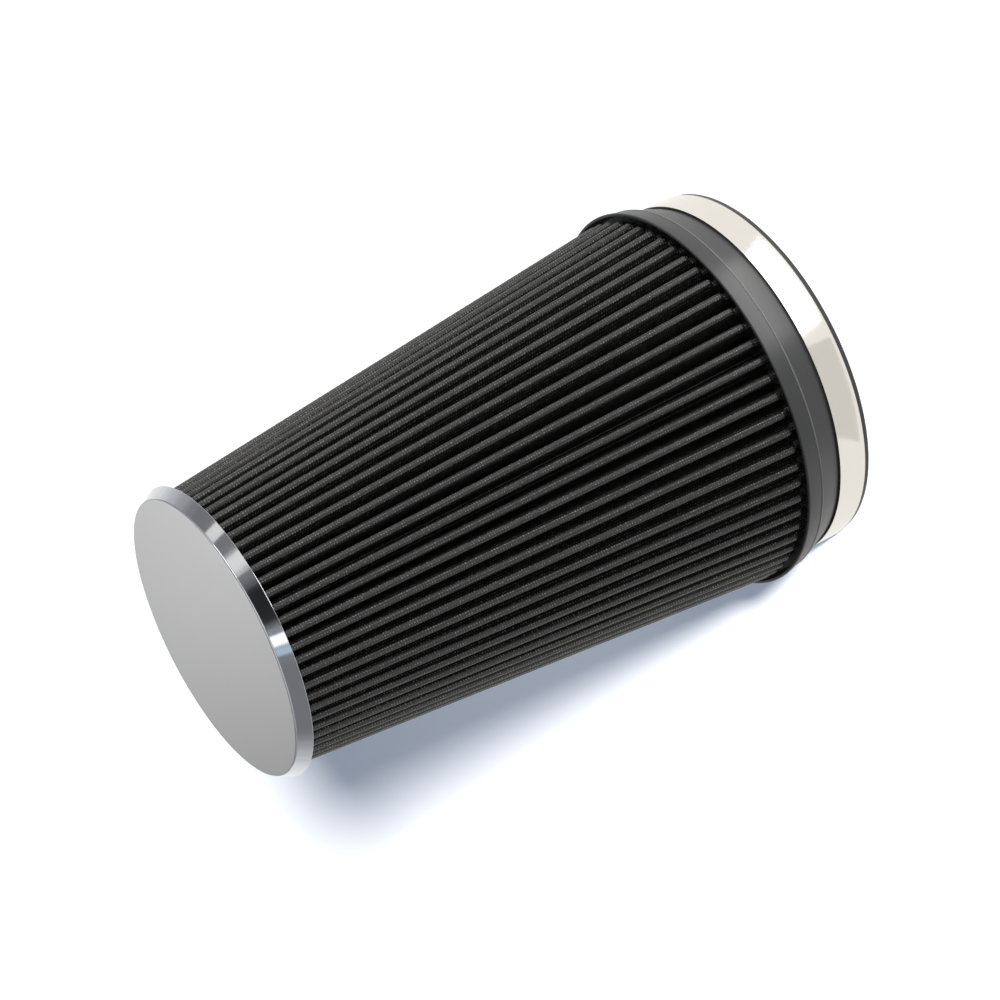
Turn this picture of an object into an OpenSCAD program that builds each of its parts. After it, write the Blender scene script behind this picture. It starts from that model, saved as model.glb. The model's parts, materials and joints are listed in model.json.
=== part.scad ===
// Conical clamp-on air filter with a pleated element, a drawn metal cap,
// a moulded flange and a worm drive clamp.
// It stands on the open mouth: Z runs up the filter's axis to the cap, and
// the origin is the centre of the mouth's end face.

/* [Overall] */
// Length from the mouth's end face to the cap's face
filter_length = 228; // [180:1:260]

/* [Flange] */
// Inside diameter of the mouth, which slides over the intake pipe
mouth_bore_d = 127; // [110:0.5:127.5]
// Outside diameter of the neck under the clamp
neck_d = 134.7; // [133.5:0.1:135.1]
// Height of the neck from the end face to the taper
neck_h = 13.1; // [13.1:0.1:15]
// Outside diameter of the collar that holds the pleats
collar_d = 144.8; // [144:0.2:150]
// How much less the diameter is at the ridge than at the collar's edge
ridge_drop = 3; // [1:0.2:3.6]
// Height of the ridge, where the moulds part
ridge_h = 23.4; // [22:0.2:24.6]
// Height of the collar's front edge
collar_h = 30.4; // [29:0.1:35]
// Wall of the collar outside the pleats
collar_wall = 1.1; // [0.8:0.1:1.2]
// Height of the floor that the pleats stand on
pleat_seat_h = 25.5; // [25:0.1:26.5]
// Depth of the mouth up to the stop for the pipe
bore_depth = 21; // [17:0.5:22]
// Width of the stop that the pipe's end meets
pipe_stop_w = 2.5; // [1:0.1:4]
// Wall of the inner lip inside the pleats
inner_lip_wall = 2.6; // [1.5:0.1:3.5]
// Thickness of the small bead at the mouth's outer edge
rim_bead_h = 1.8; // [1:0.1:1.9]
// Height that the bead stands out from the neck
rim_bead_rise = 0.3; // [0.1:0.05:0.5]
// Size of the bevel at the mouth of the bore
mouth_bevel = 0.8; // [0.2:0.1:1]
// Radius on the collar's front edge
collar_edge_r = 0.6; // [0.2:0.1:0.8]

/* [Pleated element] */
// Number of pleats round the element
pleat_count = 65; // [48:1:66]
// Radius over the pleat tips where they leave the cap's skirt
tip_r_top = 50.6; // [48:0.1:51.2]
// Radius over the pleat tips where they enter the collar
tip_r_base = 70.3; // [66:0.1:70.7]
// How far the tips are pressed in at the flange's floor
tip_pinch = 2.2; // [1.5:0.1:3]
// Height above the collar where the tips start to bend in
pinch_reach = 4; // [2:0.5:8]
// Depth of a pleat, from its tip to the inside of its fold
pleat_depth = 15; // [10:0.5:17]
// Half of a pleat's width at its tip
tip_half_w = 1.36; // [1.3:0.02:1.5]
// Half of the groove's width at its bottom
groove_half_w = 0.3; // [0.2:0.02:0.32]
// Thickness of each wire screen
screen_t = 0.3; // [0.2:0.01:0.32]
// Thickness of the filter medium between the screens
media_t = 0.5; // [0.3:0.01:0.52]
// Thickness of the strip that closes the seam
seam_clip_t = 0.4; // [0.2:0.02:0.42]
// How far the strip reaches up the fold, as a share of the pleat's side
seam_clip_reach = 0.3; // [0.15:0.01:0.45]

/* [End cap] */
// Radius of the cap's face to the start of its rounded edge
cap_face_r = 50.6; // [49.5:0.1:50.8]
// Radius over the skirt at its open edge
skirt_r = 54; // [53:0.1:55]
// Depth of the skirt
skirt_h = 5.2; // [4.5:0.1:7]
// Thickness of the cap's sheet
cap_t = 0.8; // [0.6:0.05:1]
// Radius of the cap's edge
cap_edge_r = 0.9; // [0.4:0.1:1]
// Height of the small step below the cap's edge
cap_step_h = 0.5; // [0.3:0.1:0.7]
// Thickness of the potting that bonds the pleats to the cap
potting_t = 2.2; // [1.5:0.1:3]

/* [Clamp] */
// Width of the clamp band
band_w = 11; // [10.8:0.1:11.1]
// Thickness of the clamp band
band_t = 0.65; // [0.5:0.05:0.8]
// Height of the band's lower edge
band_z = 2; // [1.95:0.05:2]
// Angle that the free tail covers beyond the worm housing
tail_angle = 38; // [15:1:60]
// Spacing of the slots along the band
slot_pitch = 3; // [2.6:0.1:3.6]
// Width of a slot
slot_w = 1.1; // [0.8:0.1:1.4]
// Length of a slot across the band
slot_l = 6.6; // [5.5:0.1:7]
// Slope of the slots, which is the worm's lead angle
slot_slope = 6; // [3:0.5:8]
// Number of slots in the band beyond the overlap
extra_slots = 9; // [0:1:20]
// Length of the worm housing along the band
housing_l = 15; // [13:0.5:17]
// Thickness of the housing's sheet
housing_t = 0.5; // [0.4:0.05:0.5]
// Thickness of the saddle between the band's two layers
saddle_t = 0.55; // [0.4:0.05:0.8]
// Radius of the worm's core
worm_core_r = 3.4; // [3:0.05:3.6]
// Height of the thread on the worm's core
thread_h = 0.65; // [0.4:0.05:0.8]
// Width of the hexagon head across its flats
head_af = 7; // [6:0.1:7.2]
// Length of the hexagon head
head_l = 4.6; // [3.5:0.1:6]
// Radius of the collar behind the head
head_collar_r = 3.85; // [3.6:0.05:3.9]
// Thickness of the collar behind the head
head_collar_l = 1; // [0.8:0.1:1.5]
// How far the worm's tip stands out of the housing
screw_tip_l = 0.9; // [0.5:0.1:1.5]
// Depth of the screwdriver slot
driver_slot_d = 1.6; // [1:0.1:2.5]
// Width of the screwdriver slot
driver_slot_w = 1.1; // [0.8:0.1:1.4]

/* [Clearances] */
// Gap between the worm's journals and their bearings
journal_gap = 0.05; // [0.03:0.01:0.09]
// Gap between the worm and what it turns beside
worm_gap = 0.35; // [0.25:0.05:0.5]
// Gap between sheet parts that slide on each other
slide_gap = 0.05; // [0.03:0.01:0.08]

/* [Hidden] */
$fn = 120;

rubber_color = [0.28, 0.28, 0.28];
mesh_color = [0.1, 0.1, 0.1];
media_color = [0.16, 0.16, 0.17];
satin_color = [0.66, 0.66, 0.67];
steel_color = [0.86, 0.85, 0.83];

// The pleats stand on the flange's floor and end at the cap's potting. Their
// tips are pressed in towards the floor.
pleat_z0 = pleat_seat_h;
pinch_z = collar_h + pinch_reach;
pleat_z1 = filter_length - cap_t - potting_t;
tip_slope = (tip_r_base - tip_r_top) / (filter_length - skirt_h - collar_h);
function tip_r(z) = tip_r_base - tip_slope * (z - collar_h);
function pinch(z) = z < pinch_z ? tip_pinch : 0;
pack_t = 2 * screen_t + media_t;
pleat_pitch = 360 / pleat_count;
// A fold lies at +Y, where the seam strip closes it.
seam_angle = 90;

channel_r = collar_d / 2 - collar_wall;
ridge_r = (collar_d - ridge_drop) / 2;
// The inner lip clears the folds and the seam strip up to its top.
lip_rise = 0.6;
lip_top = collar_h + lip_rise;
lip_outer_r = tip_r(lip_top) - pleat_depth - seam_clip_t - 2 * slide_gap;
lip_inner_r = lip_outer_r - inner_lip_wall;
// The floor under the pleats that leaves room for the funnel's full width.
seat_floor = 4.5;

// The channel narrows with the tips towards its floor.
channel_taper = 1.2;
ridge_rise = 0.15;
ridge_w = 0.5;

neck_r = neck_d / 2;
bore_r = mouth_bore_d / 2;

band_r = neck_r;
saddle_r = band_r + band_t;
tail_r = saddle_r + saddle_t + slide_gap;
tail_top_r = tail_r + band_t;
band_mid_z = band_z + band_w / 2;
worm_y = tail_top_r + worm_gap + worm_core_r;
thread_r = worm_core_r + thread_h;
housing_half_angle = asin(housing_l / 2 / saddle_r);
// The band's fixed end lies under the saddle and its tail runs over it.
jog_gap_angle = 1.5;
jog_angle = 8;
jog_lap = 1;
jog_inset = 0.05;
fixed_end_angle = seam_angle + housing_half_angle;
jog_start = fixed_end_angle + jog_gap_angle;
jog_end = jog_start + jog_angle;
tail_end_angle = seam_angle - housing_half_angle - tail_angle;
slot_step = slot_pitch / tail_r * 180 / PI;

// Point in the plane at a radius and an angle.
function polar(r, a) = [r * cos(a), r * sin(a)];

// Points of an arc, given its centre, radius, two angles and steps.
function arc(c, r, a0, a1, n) =
    [for (i = [0:n]) c + r * [cos(a0 + (a1 - a0) * i / n), sin(a0 + (a1 - a0) * i / n)]];

// Points of the lower inner quarter of an ellipse, from its side to its foot.
function quarter(c, rx, ry, n) =
    [for (i = [0:n]) c - [rx * cos(90 * i / n), ry * sin(90 * i / n)]];

// A point given along and across a direction of the plane.
function along(a, r, y) = [r * cos(a) - y * sin(a), r * sin(a) + y * cos(a)];

// Angles of the points over a pleat's rounded tip.
tip_angles = [-90, -30, 30, 90];
tip_points = len(tip_angles);
points_per_pleat = tip_points + 2;

// The bottom of a groove, beside the fold at angle a, for the surface that
// lies a depth s inside the pack. side is 1 or -1.
function fold_point(a, r_tip, s, side) =
    along(a, r_tip - pleat_depth + pack_t - s, side * (groove_half_w + s));

// A point over the tip of the pleat at angle a.
function tip_point(a, r_tip, s, t) =
    along(a, r_tip - tip_half_w + (tip_half_w - s) * cos(t), (tip_half_w - s) * sin(t));

// One pleat's points, and the whole closed outline at one height.
function pleat_points(a, z, s) = concat(
    [fold_point(a - pleat_pitch / 2, tip_r(z), s, 1)],
    [for (t = tip_angles) tip_point(a, tip_r(z) - pinch(z), s, t)],
    [fold_point(a + pleat_pitch / 2, tip_r(z), s, -1)]);

function pleat_outline(z, s) =
    [for (i = [0:pleat_count - 1], p = pleat_points(seam_angle + (i + 0.5) * pleat_pitch, z, s))
        [p[0], p[1], z]];

// Two triangles between neighbouring points of two outlines.
function strip(a, b, m, flip) =
    [for (i = [0:m - 1], k = [0, 1])
        let (j = (i + 1) % m, tri = k == 0 ? [a + i, a + j, b + j] : [a + i, b + j, b + i])
            flip ? [tri[0], tri[1], tri[2]] : [tri[2], tri[1], tri[0]]];

// A pleated sheet between two depths of the pack, ruled from the flange's
// floor to where the tips are free and on to the cap.
module pleated_sheet(s_out, s_in) {
    m = pleat_count * points_per_pleat;
    levels = [pleat_z0, pinch_z, pleat_z1];
    pts = [for (s = [s_out, s_in], z = levels) each pleat_outline(z, s)];
    top = m * (len(levels) - 1);
    inner = m * len(levels);
    outer_faces = [for (i = [0:len(levels) - 2]) each strip(m * i, m * (i + 1), m, false)];
    inner_faces = [for (i = [0:len(levels) - 2]) each strip(inner + m * i, inner + m * (i + 1), m, true)];
    ends = concat(strip(0, inner, m, true), strip(top, inner + top, m, false));
    polyhedron(points = pts, faces = concat(outer_faces, inner_faces, ends));
}

module outer_screen() {
    color(mesh_color) pleated_sheet(0, screen_t);
}

module filter_media() {
    color(media_color) pleated_sheet(screen_t, screen_t + media_t);
}

module inner_screen() {
    color(mesh_color) pleated_sheet(screen_t + media_t, pack_t);
}

// A point on the side of the fold at the seam: u runs from the fold to the
// tip and w from where the tips are free to the cap, both from 0 to 1. Each
// side of a pleat is two flat triangles, so that the strip lies along the one
// or the other.
function seam_point(u, w, s, side) =
    let (low = tip_r(pinch_z), high = tip_r(pleat_z1), a = seam_angle + side * pleat_pitch / 2,
         fold_low = lift(fold_point(seam_angle, low, s, side), pinch_z),
         fold_high = lift(fold_point(seam_angle, high, s, side), pleat_z1),
         tip_low = lift(tip_point(a, low, s, -90 * side), pinch_z),
         tip_high = lift(tip_point(a, high, s, -90 * side), pleat_z1))
        side > 0
            ? (u > w ? (1 - u) * fold_low + (u - w) * tip_low + w * tip_high
                     : (1 - w) * fold_low + u * tip_high + (w - u) * fold_high)
            : (u + w < 1 ? u * tip_low + w * fold_high + (1 - u - w) * fold_low
                         : (1 - w) * tip_low + (1 - u) * fold_high + (u + w - 1) * tip_high);

function lift(p, z) = [p[0], p[1], z];

// Outline of the strip at one height: up its outer side and back down its
// inner side.
function seam_outline(w, s_in, s_out) = [
    seam_point(seam_clip_reach, w, s_in, -1), seam_point(0, w, s_in, -1),
    seam_point(0, w, s_in, 1), seam_point(seam_clip_reach, w, s_in, 1),
    seam_point(seam_clip_reach, w, s_out, 1), seam_point(0, w, s_out, 1),
    seam_point(0, w, s_out, -1), seam_point(seam_clip_reach, w, s_out, -1)];

// The folded strip that closes the pleated pack along one inner fold.
module seam_clip() {
    s_in = pack_t + slide_gap;
    s_out = s_in + seam_clip_t;
    levels = [0, seam_clip_reach, 1 - seam_clip_reach, 1];
    pts = [for (w = levels) each seam_outline(w, s_in, s_out)];
    m = 8;
    top = m * (len(levels) - 1);
    walls = [for (i = [0:len(levels) - 2]) each strip(m * i, m * (i + 1), m, false)];
    ends = [for (i = [0:2]) each [
        [i, i + 1, m - 2 - i], [i, m - 2 - i, m - 1 - i],
        [top + m - 2 - i, top + i + 1, top + i], [top + m - 1 - i, top + m - 2 - i, top + i]]];
    color(steel_color) polyhedron(points = pts, faces = concat(walls, ends));
}

// The moulded flange: neck, taper, fine ridge where the moulds part, collar
// with the pleats' channel, and the inner funnel.
module base_flange() {
    collar_r = collar_d / 2;
    throat_r = bore_r - pipe_stop_w;
    outside = concat(
        [[bore_r + mouth_bevel, 0], [neck_r + rim_bead_rise, 0],
         [neck_r + rim_bead_rise, rim_bead_h], [neck_r, rim_bead_h], [neck_r, neck_h]],
        [[ridge_r, ridge_h - ridge_w / 2], [ridge_r + ridge_rise, ridge_h],
         [ridge_r, ridge_h + ridge_w / 2]],
        arc([collar_r - collar_edge_r, collar_h - collar_edge_r], collar_edge_r, 0, 90, 6));
    channel = [[channel_r, collar_h], [channel_r - channel_taper, pleat_seat_h],
               [lip_outer_r, pleat_seat_h], [lip_outer_r, lip_top]];
    // A thinner floor makes the funnel's rounding narrower.
    funnel_w = (throat_r - lip_inner_r) * min(1, (pleat_seat_h - bore_depth) / seat_floor);
    funnel = quarter([lip_inner_r + funnel_w, lip_top], funnel_w, lip_top - bore_depth, 8);
    inside = [[bore_r, bore_depth], [bore_r, mouth_bevel]];
    color(rubber_color) rotate_extrude() polygon(concat(outside, channel, funnel, inside));
}

// The drawn cap: a flat face, a rounded edge, a fine step and a flared skirt
// with a plain open edge.
module end_cap() {
    top = filter_length;
    step_z = top - cap_edge_r - cap_step_h;
    edge_r = cap_face_r + cap_edge_r;
    skirt_z = top - skirt_h;
    color(satin_color) rotate_extrude() polygon(concat(
        [[0, top - cap_t], [0, top]],
        arc([cap_face_r, top - cap_edge_r], cap_edge_r, 90, 0, 6),
        [[edge_r - 0.2, top - cap_edge_r - 0.1], [edge_r - 0.2, step_z + 0.1],
         [edge_r + 0.1, step_z - 0.1], [skirt_r - 0.3, skirt_z + 0.9],
         [skirt_r, skirt_z + 0.4], [skirt_r, skirt_z], [skirt_r - cap_t, skirt_z]],
        [[cap_face_r, top - cap_t]]));
}

// The potting fills the cap behind its face, out to the skirt's inside.
module cap_potting() {
    cap_in_z = filter_length - cap_t;
    skirt_in_slope = (skirt_r - cap_t - cap_face_r) / (skirt_h - cap_t);
    color(rubber_color) rotate_extrude() polygon([
        [0, pleat_z1], [cap_face_r + skirt_in_slope * potting_t, pleat_z1],
        [cap_face_r, cap_in_z], [0, cap_in_z]]);
}

// One layer of the band between two angles.
module band_arc(r, a0, a1, z, h) {
    rotate([0, 0, a0]) rotate_extrude(angle = a1 - a0) translate([r, z]) square([band_t, h]);
}

// A slanted slot through one layer, at an angle round the band.
module band_slot(a, r) {
    rotate([0, 0, a]) translate([r + band_t / 2, 0, band_mid_z]) rotate([slot_slope, 0, 0])
        cube([2 * band_t, slot_w, slot_l], center = true);
}

// The band: its fixed end, the turn round the neck, the step up over the
// saddle, and the slotted tail.
module clamp_band() {
    tail_slots = floor((jog_start - tail_end_angle) / slot_step) - 1;
    color(steel_color) difference() {
        union() {
            band_arc(band_r, jog_end - 360, fixed_end_angle, band_z, band_w);
            translate([0, 0, band_z]) linear_extrude(height = band_w) polygon([
                polar(band_r + jog_inset, jog_end + jog_lap),
                polar(saddle_r - jog_inset, jog_end + jog_lap),
                polar(tail_top_r - jog_inset, jog_start - jog_lap),
                polar(tail_r + jog_inset, jog_start - jog_lap)]);
            band_arc(tail_r, tail_end_angle, jog_start, band_z, band_w);
        }
        for (i = [1:tail_slots]) band_slot(tail_end_angle + i * slot_step, tail_r);
        if (extra_slots > 0) for (i = [1:extra_slots]) band_slot(jog_end + i * slot_step, band_r);
    }
}

// The saddle that the housing stands on, curved to the band.
module clamp_saddle() {
    half_w = band_w / 2 + slide_gap + housing_t;
    color(steel_color) rotate([0, 0, seam_angle - housing_half_angle])
        rotate_extrude(angle = 2 * housing_half_angle)
            translate([saddle_r, band_mid_z - half_w]) square([saddle_t, 2 * half_w]);
}

// Extrudes an outline along the worm. The outline's first axis is the height
// above the filter's axis, and its second runs across the band.
module along_worm(x, l) {
    translate([x, 0, band_mid_z]) rotate([90, 0, 90]) linear_extrude(height = l) children();
}

// Outline of the housing's arch across the band: a round crown over the
// worm, flat shoulders over the band and a leg outside each edge.
module arch_outline(grow) {
    crown_r = thread_r + worm_gap + grow;
    half_w = band_w / 2 + slide_gap + grow;
    shoulder_y = tail_top_r + slide_gap + grow;
    translate([worm_y, 0]) circle(r = crown_r);
    translate([tail_r, -crown_r]) square([worm_y - tail_r, 2 * crown_r]);
    translate([bore_r, -half_w]) square([shoulder_y - bore_r, 2 * half_w]);
}

// A cylinder on the worm's axis.
module worm_cylinder(x, l, r, sides = 90) {
    translate([x, worm_y, band_mid_z]) rotate([0, 90, 0]) cylinder(r = r, h = l, $fn = sides);
}

// The worm housing: a bent sheet that stands on the saddle, with a bearing
// plate at each end and a way through for the tail.
module clamp_housing() {
    cavity_l = housing_l - 2 * housing_t;
    passage_w = band_w + 2 * slide_gap;
    color(steel_color) difference() {
        along_worm(-housing_l / 2, housing_l) arch_outline(housing_t);
        along_worm(-cavity_l / 2, cavity_l) arch_outline(0);
        cylinder(r = saddle_r + saddle_t, h = collar_h);
        translate([0, 0, band_mid_z - passage_w / 2])
            cylinder(r = tail_top_r + slide_gap, h = passage_w);
        worm_cylinder(-housing_l, 2 * housing_l, worm_core_r + journal_gap);
    }
}

// The worm screw: a core that turns in the two plates, a collar and a
// slotted hexagon head. Its thread is too fine to be drawn here.
module clamp_screw() {
    tip_x = -housing_l / 2 - screw_tip_l;
    collar_x = housing_l / 2 + worm_gap;
    head_x = collar_x + head_collar_l;
    corner_r = head_af / 2 / cos(30);
    color(steel_color) difference() {
        union() {
            worm_cylinder(tip_x, head_x - tip_x, worm_core_r);
            worm_cylinder(collar_x, head_collar_l, head_collar_r);
            intersection() {
                worm_cylinder(head_x, head_l, corner_r, 6);
                translate([head_x, worm_y, band_mid_z]) rotate([0, 90, 0])
                    cylinder(r1 = corner_r + head_l, r2 = head_af / 2 - 0.1, h = head_l + 0.4);
            }
        }
        translate([head_x + head_l - driver_slot_d, worm_y - head_af, band_mid_z - driver_slot_w / 2])
            cube([head_l, 2 * head_af, driver_slot_w]);
    }
}

base_flange();
filter_media();
outer_screen();
inner_screen();
seam_clip();
cap_potting();
end_cap();
clamp_band();
clamp_saddle();
clamp_housing();
clamp_screw();
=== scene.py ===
"""Dresses a conical clamp-on air filter for a studio picture.

The filter stands on its open mouth with its axis along Z. The solids come
from the frame, and this file adds the woven screens, the fine forms of the
moulded and drawn pieces, the worm's thread, the finishes, the lights and the
camera.
"""
import json
import math

import bpy
from bpy.props import FloatProperty, FloatVectorProperty, IntProperty, PointerProperty
from mathutils import Matrix, Vector


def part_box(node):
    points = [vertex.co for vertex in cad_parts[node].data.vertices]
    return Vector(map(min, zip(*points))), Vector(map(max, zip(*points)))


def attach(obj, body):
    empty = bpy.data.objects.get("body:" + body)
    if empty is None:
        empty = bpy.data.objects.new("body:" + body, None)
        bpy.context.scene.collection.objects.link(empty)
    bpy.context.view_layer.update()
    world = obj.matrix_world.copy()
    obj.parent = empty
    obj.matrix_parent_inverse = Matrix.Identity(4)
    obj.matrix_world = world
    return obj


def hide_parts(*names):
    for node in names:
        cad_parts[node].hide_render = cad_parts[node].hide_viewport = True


bl_info = {
    "name": "Clamp-on air filter",
    "version": (1, 0, 0),
    "blender": (4, 5, 0),
    "location": "3D View > Sidebar > Air Filter",
    "description": "Builds and finishes a pleated conical air filter with its band clamp",
    "category": "Object",
}

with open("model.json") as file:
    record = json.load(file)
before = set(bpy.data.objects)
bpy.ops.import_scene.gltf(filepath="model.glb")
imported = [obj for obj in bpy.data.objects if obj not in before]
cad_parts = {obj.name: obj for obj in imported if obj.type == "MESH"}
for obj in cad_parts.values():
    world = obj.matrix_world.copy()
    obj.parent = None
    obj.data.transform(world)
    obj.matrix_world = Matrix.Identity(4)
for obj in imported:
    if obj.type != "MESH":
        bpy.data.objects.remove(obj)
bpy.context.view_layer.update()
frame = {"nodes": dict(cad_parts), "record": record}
MM = 0.001

# Corners of the solids that the dressed pieces are fitted to.
FLANGE_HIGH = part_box("base_flange")[1]
CAP_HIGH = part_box("end_cap")[1]
PLEAT_LOW, PLEAT_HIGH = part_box("outer_screen")
BAND_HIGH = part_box("clamp_band")[1]
WORM_LOW, WORM_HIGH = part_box("clamp_screw")
HOUSING_LOW, HOUSING_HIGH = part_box("clamp_housing")
MOUTH_R = frame["record"]["mounts"][0]["dims"]["r_mm"] * MM


def linear(hex_colour):
    """An sRGB hex colour as linear RGBA."""
    values = [int(hex_colour[i:i + 2], 16) / 255 for i in (1, 3, 5)]
    return [v / 12.92 if v <= 0.04045 else ((v + 0.055) / 1.055) ** 2.4 for v in values] + [1.0]


def size(name, description, default_mm):
    """A length that a user may change, given in millimetres and kept in metres."""
    return FloatProperty(name=name, description=description, default=default_mm * MM,
                         min=0.0, precision=5, subtype="DISTANCE", unit="LENGTH")


def colour(name, description, hex_colour):
    """A colour that a user may change."""
    return FloatVectorProperty(name=name, description=description, subtype="COLOR", size=4,
                               min=0.0, max=1.0, default=linear(hex_colour))


class FilterSizes(bpy.types.PropertyGroup):
    """Lengths and counts of the dressed pieces."""

    pleat_count: IntProperty(name="Pleats", description="Number of pleats round the element",
                             default=65, min=40, max=80)
    tip_r_top: size("Tip radius at the cap", "Radius over the pleats where the skirt ends", 50.6)
    tip_r_base: size("Tip radius at the collar", "Radius over the pleats at the collar", 70.3)
    pleat_depth: size("Pleat depth", "From a pleat's tip to the inside of its fold", 15.0)
    tip_half_w: size("Half tip width", "Half of a pleat's width at its tip", 1.36)
    groove_half_w: size("Half groove width", "Half of the groove's width at its bottom", 0.3)
    screen_t: size("Screen", "Thickness of a wire screen", 0.3)
    media_t: size("Medium", "Thickness of the filter medium", 0.5)
    wire_pitch: size("Wire spacing", "Spacing of the wires in the woven screen", 1.0)
    skirt_h: size("Skirt depth", "Depth of the cap's skirt", 5.2)
    collar_h: size("Collar height", "Height of the collar's front edge", 30.4)
    ridge_h: size("Mould line height", "Height of the mould's parting line", 23.4)
    ridge_r: size("Mould line radius", "Radius of the flange at its parting line", 70.9)
    neck_h: size("Neck height", "Height of the neck, where the taper starts", 13.1)
    thread_pitch: size("Worm pitch", "Distance that the band moves in a turn", 3.0)


class FilterColours(bpy.types.PropertyGroup):
    """Colours of the finishes."""

    # Painted highlight: this light grey on the crowns stands in for glints on the black epoxy.
    wire: colour("Coated wire", "Light on the epoxy on the crowns of the wires", "#c6c6c2")
    mesh_gap: colour("Mesh gaps", "What shows between the wires", "#1e1e1e")
    medium: colour("Filter medium", "Black synthetic felt", "#0b0b0c")
    urethane: colour("Moulded urethane", "Grey flange", "#4b4c4e")
    # Painted highlight: this lighter grey on the flash stands in for light caught by the parting
    # line's ridge.
    parting_line_highlight: colour("Parting line", "Trimmed flash round the flange", "#97989a")
    potting: colour("Cast urethane", "Black potting", "#1b1b1c")
    cap_face: colour("Cap face", "Satin face of the cap", "#c9c9ca")
    skirt: colour("Cap skirt", "Polished skirt", "#c9ccd2")
    stainless: colour("Stainless strip", "Polished band", "#dfdcd5")
    screw: colour("Plated steel", "Zinc-plated worm", "#b4b7ba")


# Mesh building

ROUND_STEPS = 288
ROUND_CREASE_DEG = 28.0


def spaced(start, end, steps):
    """Evenly spaced numbers from start to end, with both ends."""
    return [start + (end - start) * i / steps for i in range(steps + 1)]


def arc_points(centre, radius, start_deg, end_deg, steps):
    """Points of an arc in a plane."""
    angles = [math.radians(degrees) for degrees in spaced(start_deg, end_deg, steps)]
    return [(centre[0] + radius * math.cos(a), centre[1] + radius * math.sin(a)) for a in angles]


def turned(points, angle):
    """Points of a plane, turned about its origin."""
    ca, sa = math.cos(angle), math.sin(angle)
    return [(x * ca - y * sa, x * sa + y * ca) for x, y in points]


def new_object(name, verts, faces, crease_deg, uvs=None):
    """A mesh object at the origin with its place in its mesh, and UVs in millimetres."""
    mesh = bpy.data.meshes.new(name)
    mesh.from_pydata(verts, [], faces)
    if uvs:
        layer = mesh.uv_layers.new(name="cloth_mm")
        layer.data.foreach_set("uv", [value for uv in uvs for value in uv])
    mesh.validate()
    mesh.shade_smooth()
    mesh.set_sharp_from_angle(angle=math.radians(crease_deg))
    obj = bpy.data.objects.new(name, mesh)
    bpy.context.scene.collection.objects.link(obj)
    return obj


def joined(here, there, count):
    """Faces between two closed rows of points, given by the rows' first vertices."""
    after = [*range(1, count), 0]
    return [(here + k, here + n, there + n, there + k) for k, n in enumerate(after)]


def closed_skin(name, rows, crease_deg, uvs=None):
    """A mesh over rows of points. Each row is closed, and the last row is joined to
    the first."""
    count = len(rows[0])
    faces = []
    for row in range(len(rows)):
        faces += joined(row * count, (row + 1) % len(rows) * count, count)
    return new_object(name, [point for row in rows for point in row], faces, crease_deg, uvs)


def revolve(name, profile, slots):
    """Turns a closed profile of (radius, height) points round Z. slots holds one
    material index for each side of the profile."""
    turns = spaced(0.0, 2 * math.pi, ROUND_STEPS)[:-1]
    rows = [[(r * math.cos(a), r * math.sin(a), z) for a in turns] for r, z in profile]
    obj = closed_skin(name, rows, ROUND_CREASE_DEG)
    obj.data.polygons.foreach_set("material_index", [slot for slot in slots for _ in turns])
    return obj


def dress(obj, materials, body, node):
    """Gives a piece its finishes, its body and the node that it stands for."""
    for material in materials:
        obj.data.materials.append(material)
    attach(obj, body)
    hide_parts(node)


def finish_node(node, material):
    """Gives a solid of the frame its finish."""
    obj = frame["nodes"][node]
    obj.data.materials.clear()
    obj.data.materials.append(material)


# The pleated element

FOLD_STEPS = 3
TIP_STEPS = 12
SIDE_STEPS = 5
PLEAT_CREASE_DEG = 60.0

# The mould that casts the flange presses the tips in: how far above the collar's
# edge the bend starts, its depth there, and how much of the pleat bends with it.
PINCH_REACH = 2.4 * MM
PINCH_DEPTH = 3.2 * MM
PINCH_SPREAD = 8 * MM

# Rows of the sheet along the bend, with how much closer they lie at its foot,
# and along the rest.
BEND_ROWS = 10
BEND_CROWDING = 1.6
PLAIN_ROWS = 24


def between(a, b):
    """Points between the two ends of a pleat's flat side, without the ends."""
    return list(zip(spaced(a[0], b[0], SIDE_STEPS), spaced(a[1], b[1], SIDE_STEPS)))[1:-1]


def pleat_section(sizes, tip_r, inset, pitch):
    """Outline of a pleat that points along X, from the bottom of one fold to the
    bottom of the next. inset is the depth inside the pack of three sheets."""
    pack_t = 2 * sizes.screen_t + sizes.media_t
    fold_centre = (tip_r - sizes.pleat_depth + pack_t + sizes.groove_half_w, 0.0)
    tip_centre = (tip_r - sizes.tip_half_w, 0.0)
    fold_r = sizes.groove_half_w + inset
    left = turned(arc_points(fold_centre, fold_r, 180, 90, FOLD_STEPS), -pitch / 2)
    tip = arc_points(tip_centre, sizes.tip_half_w - inset, -90, 90, TIP_STEPS)
    right = turned(arc_points(fold_centre, fold_r, 270, 180, FOLD_STEPS), pitch / 2)
    return left + between(left[-1], tip[0]) + tip + between(tip[-1], right[0]) + right


def pleat_loop(sizes, tip_r, inset):
    """Outline of all pleats at one height."""
    pitch = 2 * math.pi / sizes.pleat_count
    section = pleat_section(sizes, tip_r, inset, pitch)[:-1]
    points = []
    for i in range(sizes.pleat_count):
        points += turned(section, math.pi / 2 + (i + 0.5) * pitch)
    return points


def tip_radius(sizes, z):
    """Radius over the pleats at a height, on the plain cone."""
    top_z = CAP_HIGH[2] - sizes.skirt_h
    slope = (sizes.tip_r_base - sizes.tip_r_top) / (top_z - sizes.collar_h)
    return sizes.tip_r_base - slope * (z - sizes.collar_h)


def pinch(sizes, z):
    """How far the tips are pressed in at a height."""
    share = min(max((sizes.collar_h + PINCH_REACH - z) / PINCH_REACH, 0.0), 1.0)
    return PINCH_DEPTH * (1 - math.sqrt(max(1 - share * share, 0.0)))


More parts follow.
